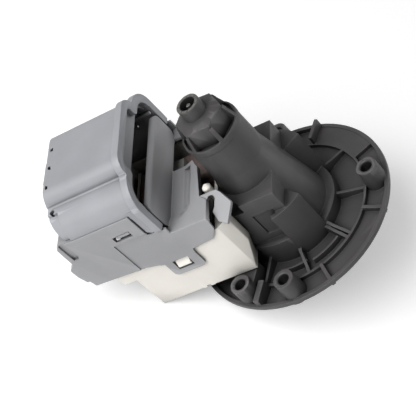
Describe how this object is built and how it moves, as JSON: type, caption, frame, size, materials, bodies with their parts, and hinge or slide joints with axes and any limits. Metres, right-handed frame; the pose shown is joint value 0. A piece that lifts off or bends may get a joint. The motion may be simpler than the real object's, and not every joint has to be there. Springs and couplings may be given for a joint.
{
  "type": "washer drain pump",
  "caption": "Synchronous motor pump for draining a washer: round ribbed mounting flange, upright rotor can, side stator with plug hood, and a free-turning impeller under the flange.",
  "frame": {"origin": "centre of the flange mounting face, on the rotor axis", "axes": "+Z along the rotor axis from the mounting face to the motor tip, -X from the axis towards the stator and the plug hood"},
  "size_m": [0.15, 0.112, 0.1225],
  "materials": {
    "housing": "moulded, fine matt grain",
    "frame": "moulded, satin",
    "hood": "moulded, satin",
    "case": "moulded, satin",
    "holder": "moulded",
    "sleeve": "moulded",
    "white_plastic": "moulded",
    "impeller": "moulded",
    "rubber": "matt",
    "steel": "ground",
    "bush": "pressed carbon",
    "magnet": "sintered",
    "laminations": "stacked sheet",
    "copper": "enamelled wire under tape",
    "tin": "tinned",
    "switch": "satin"
  },
  "bodies": {
    "housing": {"pump_housing": "housing", "flange_seal": "rubber", "bearing_holder": "holder", "front_bearing": "bush", "shaft_seal": "rubber", "thrust_washers": "white_plastic", "rear_bearing": "bush", "rear_bearing_mount": "rubber", "stator_core": "laminations", "core_rivets": "steel", "coil_former_left": "white_plastic", "coil_former_right": "white_plastic", "coil_winding_left": "copper", "coil_winding_right": "copper", "thermal_protector": "switch", "stator_case": "case", "terminal_frame": "frame", "terminal_hood": "hood", "terminal_block": "white_plastic", "spade_terminals": "tin"},
    "rotor": {"rotor_shaft": "steel", "rotor_sleeve": "sleeve", "rotor_magnet": "magnet", "drive_dog": "white_plastic"},
    "impeller": {"impeller": "impeller", "impeller_cap": "impeller", "coupling_damper": "rubber"}
  },
  "joints": [
    {"name": "rotor_spin", "type": "hinge", "parent": "housing", "child": "rotor", "pos_m": [0, 0, 0.03], "axis": [0, 0, 1], "continuous": true},
    {"name": "impeller_slack", "type": "hinge", "parent": "rotor", "child": "impeller", "pos_m": [0, 0, -0.013], "axis": [0, 0, 1], "range_deg": [-118, 118]}
  ]
}
